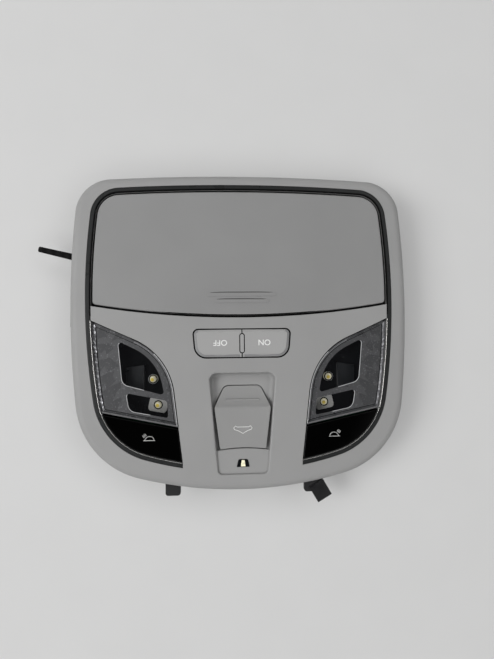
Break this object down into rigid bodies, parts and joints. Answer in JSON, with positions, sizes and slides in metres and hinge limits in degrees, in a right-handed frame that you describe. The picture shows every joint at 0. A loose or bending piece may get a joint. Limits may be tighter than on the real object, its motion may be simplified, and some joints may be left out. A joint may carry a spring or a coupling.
{
  "type": "car overhead console",
  "caption": "Overhead console with a domed bezel, hinged sunglasses door, reading lamps with push keys, push buttons and a rocking sunroof lever.",
  "frame": {"origin": "centre of the footprint on the surface that the console lies on, face up", "axes": "+Z out of the domed face, +Y towards the sunglasses door's hinge, +X to the right seen from the face"},
  "size_m": [0.2789, 0.2433, 0.0466],
  "materials": {
    "grey_plastic": "satin grain",
    "dark_trim": "gloss",
    "black_plastic": "matt",
    "felt": "felt",
    "steel": "zinc plated",
    "button_grey": "satin",
    "smoked_lens": "gloss",
    "clear_lens": "clear",
    "metallic_panel": "metallic",
    "board": "satin",
    "connector_white": "satin",
    "diode": "gloss",
    "gloss_black": "gloss",
    "rubber": "matt"
  },
  "bodies": {
    "console": {"board_connector": "connector_white", "button_divider": "button_grey", "dark_trim": "dark_trim", "door_spring": "steel", "glasses_housing": "black_plastic", "harness_cable": "rubber", "harness_grommet": "rubber", "hinge_pins": "steel", "housing_screws": "steel", "left_diode_holder": "connector_white", "left_lamp_board": "board", "left_lamp_diodes": "diode", "left_lamp_lens": "clear_lens", "left_lamp_panel": "metallic_panel", "left_lamp_reflector": "smoked_lens", "left_side_clip": "steel", "lever_pin": "steel", "lever_switch": "black_plastic", "main_bezel": "grey_plastic", "main_board": "board", "mood_lens": "smoked_lens", "push_latch": "black_plastic", "rear_housing": "black_plastic", "right_diode_holder": "connector_white", "right_lamp_board": "board", "right_lamp_diodes": "diode", "right_lamp_lens": "clear_lens", "right_lamp_panel": "metallic_panel", "right_lamp_reflector": "smoked_lens", "right_side_clip": "steel", "tact_switches": "black_plastic", "turned_tab_clip": "steel"},
    "glasses_door": {"glasses_door": "grey_plastic", "glasses_tray": "black_plastic", "tray_liner": "felt"},
    "left_push_button": {"left_push_button": "button_grey"},
    "right_push_button": {"right_push_button": "button_grey"},
    "left_lamp_key": {"left_lamp_key": "gloss_black"},
    "right_lamp_key": {"right_lamp_key": "gloss_black"},
    "sunroof_lever": {"sunroof_lever": "grey_plastic"}
  },
  "joints": [
    {"name": "door_hinge", "type": "hinge", "parent": "console", "child": "glasses_door", "pos_m": [0, 0.0841, 0.036], "axis": [-1, 0, 0], "range_deg": [0, 60]},
    {"name": "left_push_button_press", "type": "slide", "parent": "console", "child": "left_push_button", "axis": [0, 0, -1], "range_m": [0, 0.0012], "stiffness_N_per_m": 1500},
    {"name": "right_push_button_press", "type": "slide", "parent": "console", "child": "right_push_button", "axis": [0, 0, -1], "range_m": [0, 0.0012], "stiffness_N_per_m": 1500},
    {"name": "left_lamp_key_press", "type": "slide", "parent": "console", "child": "left_lamp_key", "axis": [0, 0, -1], "range_m": [0, 0.0012], "stiffness_N_per_m": 1500},
    {"name": "right_lamp_key_press", "type": "slide", "parent": "console", "child": "right_lamp_key", "axis": [0, 0, -1], "range_m": [0, 0.0012], "stiffness_N_per_m": 1500},
    {"name": "lever_rock", "type": "hinge", "parent": "console", "child": "sunroof_lever", "pos_m": [0, -0.0555, 0.036], "axis": [1, 0, 0], "range_deg": [-6, 6], "stiffness_Nm_per_rad": 0.6}
  ]
}
